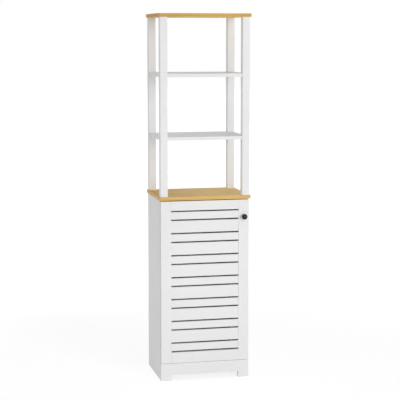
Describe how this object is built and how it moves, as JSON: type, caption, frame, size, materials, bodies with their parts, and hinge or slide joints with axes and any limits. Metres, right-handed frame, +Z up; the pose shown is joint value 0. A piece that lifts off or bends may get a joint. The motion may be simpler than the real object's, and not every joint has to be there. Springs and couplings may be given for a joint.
{
  "type": "linen cabinet",
  "caption": "Slim white bathroom tower with a slatted door cabinet below, two open shelves between square posts above and wood-look boards on both.",
  "frame": {"origin": "bottom centre of the whole cabinet's box, on the floor, with the knob's reach counted in the depth", "axes": "+X to the right seen from the front, +Y to the back and the wall, +Z up; the door and knob face -Y"},
  "size_m": [0.4, 0.316, 1.58],
  "materials": {
    "white_board": "satin white coating on board",
    "wood_look_board": "matt light wood grain running left to right",
    "knob_finish": "satin black",
    "hardware": "nickel plated",
    "dowel_wood": "bare beech",
    "bumper": "clear soft plastic"
  },
  "bodies": {
    "carcass": {"top_board": "wood_look_board", "cabinet_board": "wood_look_board", "post_front_left": "white_board", "post_front_right": "white_board", "post_back_left": "white_board", "post_back_right": "white_board", "upper_shelf": "white_board", "lower_shelf": "white_board", "side_panel_left": "white_board", "side_panel_right": "white_board", "bottom_panel": "white_board", "back_panel": "white_board", "wall_rail": "white_board", "apron": "white_board", "inner_shelf": "white_board", "shelf_pins": "hardware", "dowels": "dowel_wood", "cam_bolts": "hardware", "cam_locks": "hardware", "frame_screws": "hardware", "hinge_plate_upper": "hardware", "hinge_plate_lower": "hardware", "hinge_arm_upper": "hardware", "hinge_arm_lower": "hardware", "plate_screws": "hardware"},
    "outer_links": {"outer_link_upper": "hardware", "outer_link_lower": "hardware"},
    "door": {"door_stile_left": "white_board", "door_stile_right": "white_board", "door_rail_top": "white_board", "door_rail_bottom": "white_board", "door_slat_01": "white_board", "door_slat_02": "white_board", "door_slat_03": "white_board", "door_slat_04": "white_board", "door_slat_05": "white_board", "door_slat_06": "white_board", "door_slat_07": "white_board", "door_slat_08": "white_board", "door_slat_09": "white_board", "door_slat_10": "white_board", "door_slat_11": "white_board", "door_slat_12": "white_board", "door_slat_13": "white_board", "knob": "knob_finish", "knob_screw": "hardware", "door_bumpers": "bumper", "hinge_cup_upper": "hardware", "hinge_cup_lower": "hardware", "cup_screws": "hardware"},
    "inner_links": {"inner_link_upper": "hardware", "inner_link_lower": "hardware"}
  },
  "joints": [
    {"name": "outer_link_swing", "type": "hinge", "parent": "carcass", "child": "outer_links", "pos_m": [-0.1635, -0.1299, 0.431], "axis": [0, 0, 1], "range_deg": [0, 30]},
    {"name": "door_swing", "type": "hinge", "parent": "outer_links", "child": "door", "pos_m": [-0.1834, -0.1288, 0.431], "axis": [0, 0, -1], "range_deg": [0, 125]},
    {"name": "inner_link_swing", "type": "hinge", "parent": "door", "child": "inner_links", "pos_m": [-0.1858, -0.1238, 0.431], "axis": [0, 0, 1], "range_deg": [0, 126.25]}
  ],
  "couplings": [
    {"joint": "outer_link_swing", "follows": "door_swing", "ratio": 0.24},
    {"joint": "inner_link_swing", "follows": "door_swing", "ratio": 1.01}
  ]
}
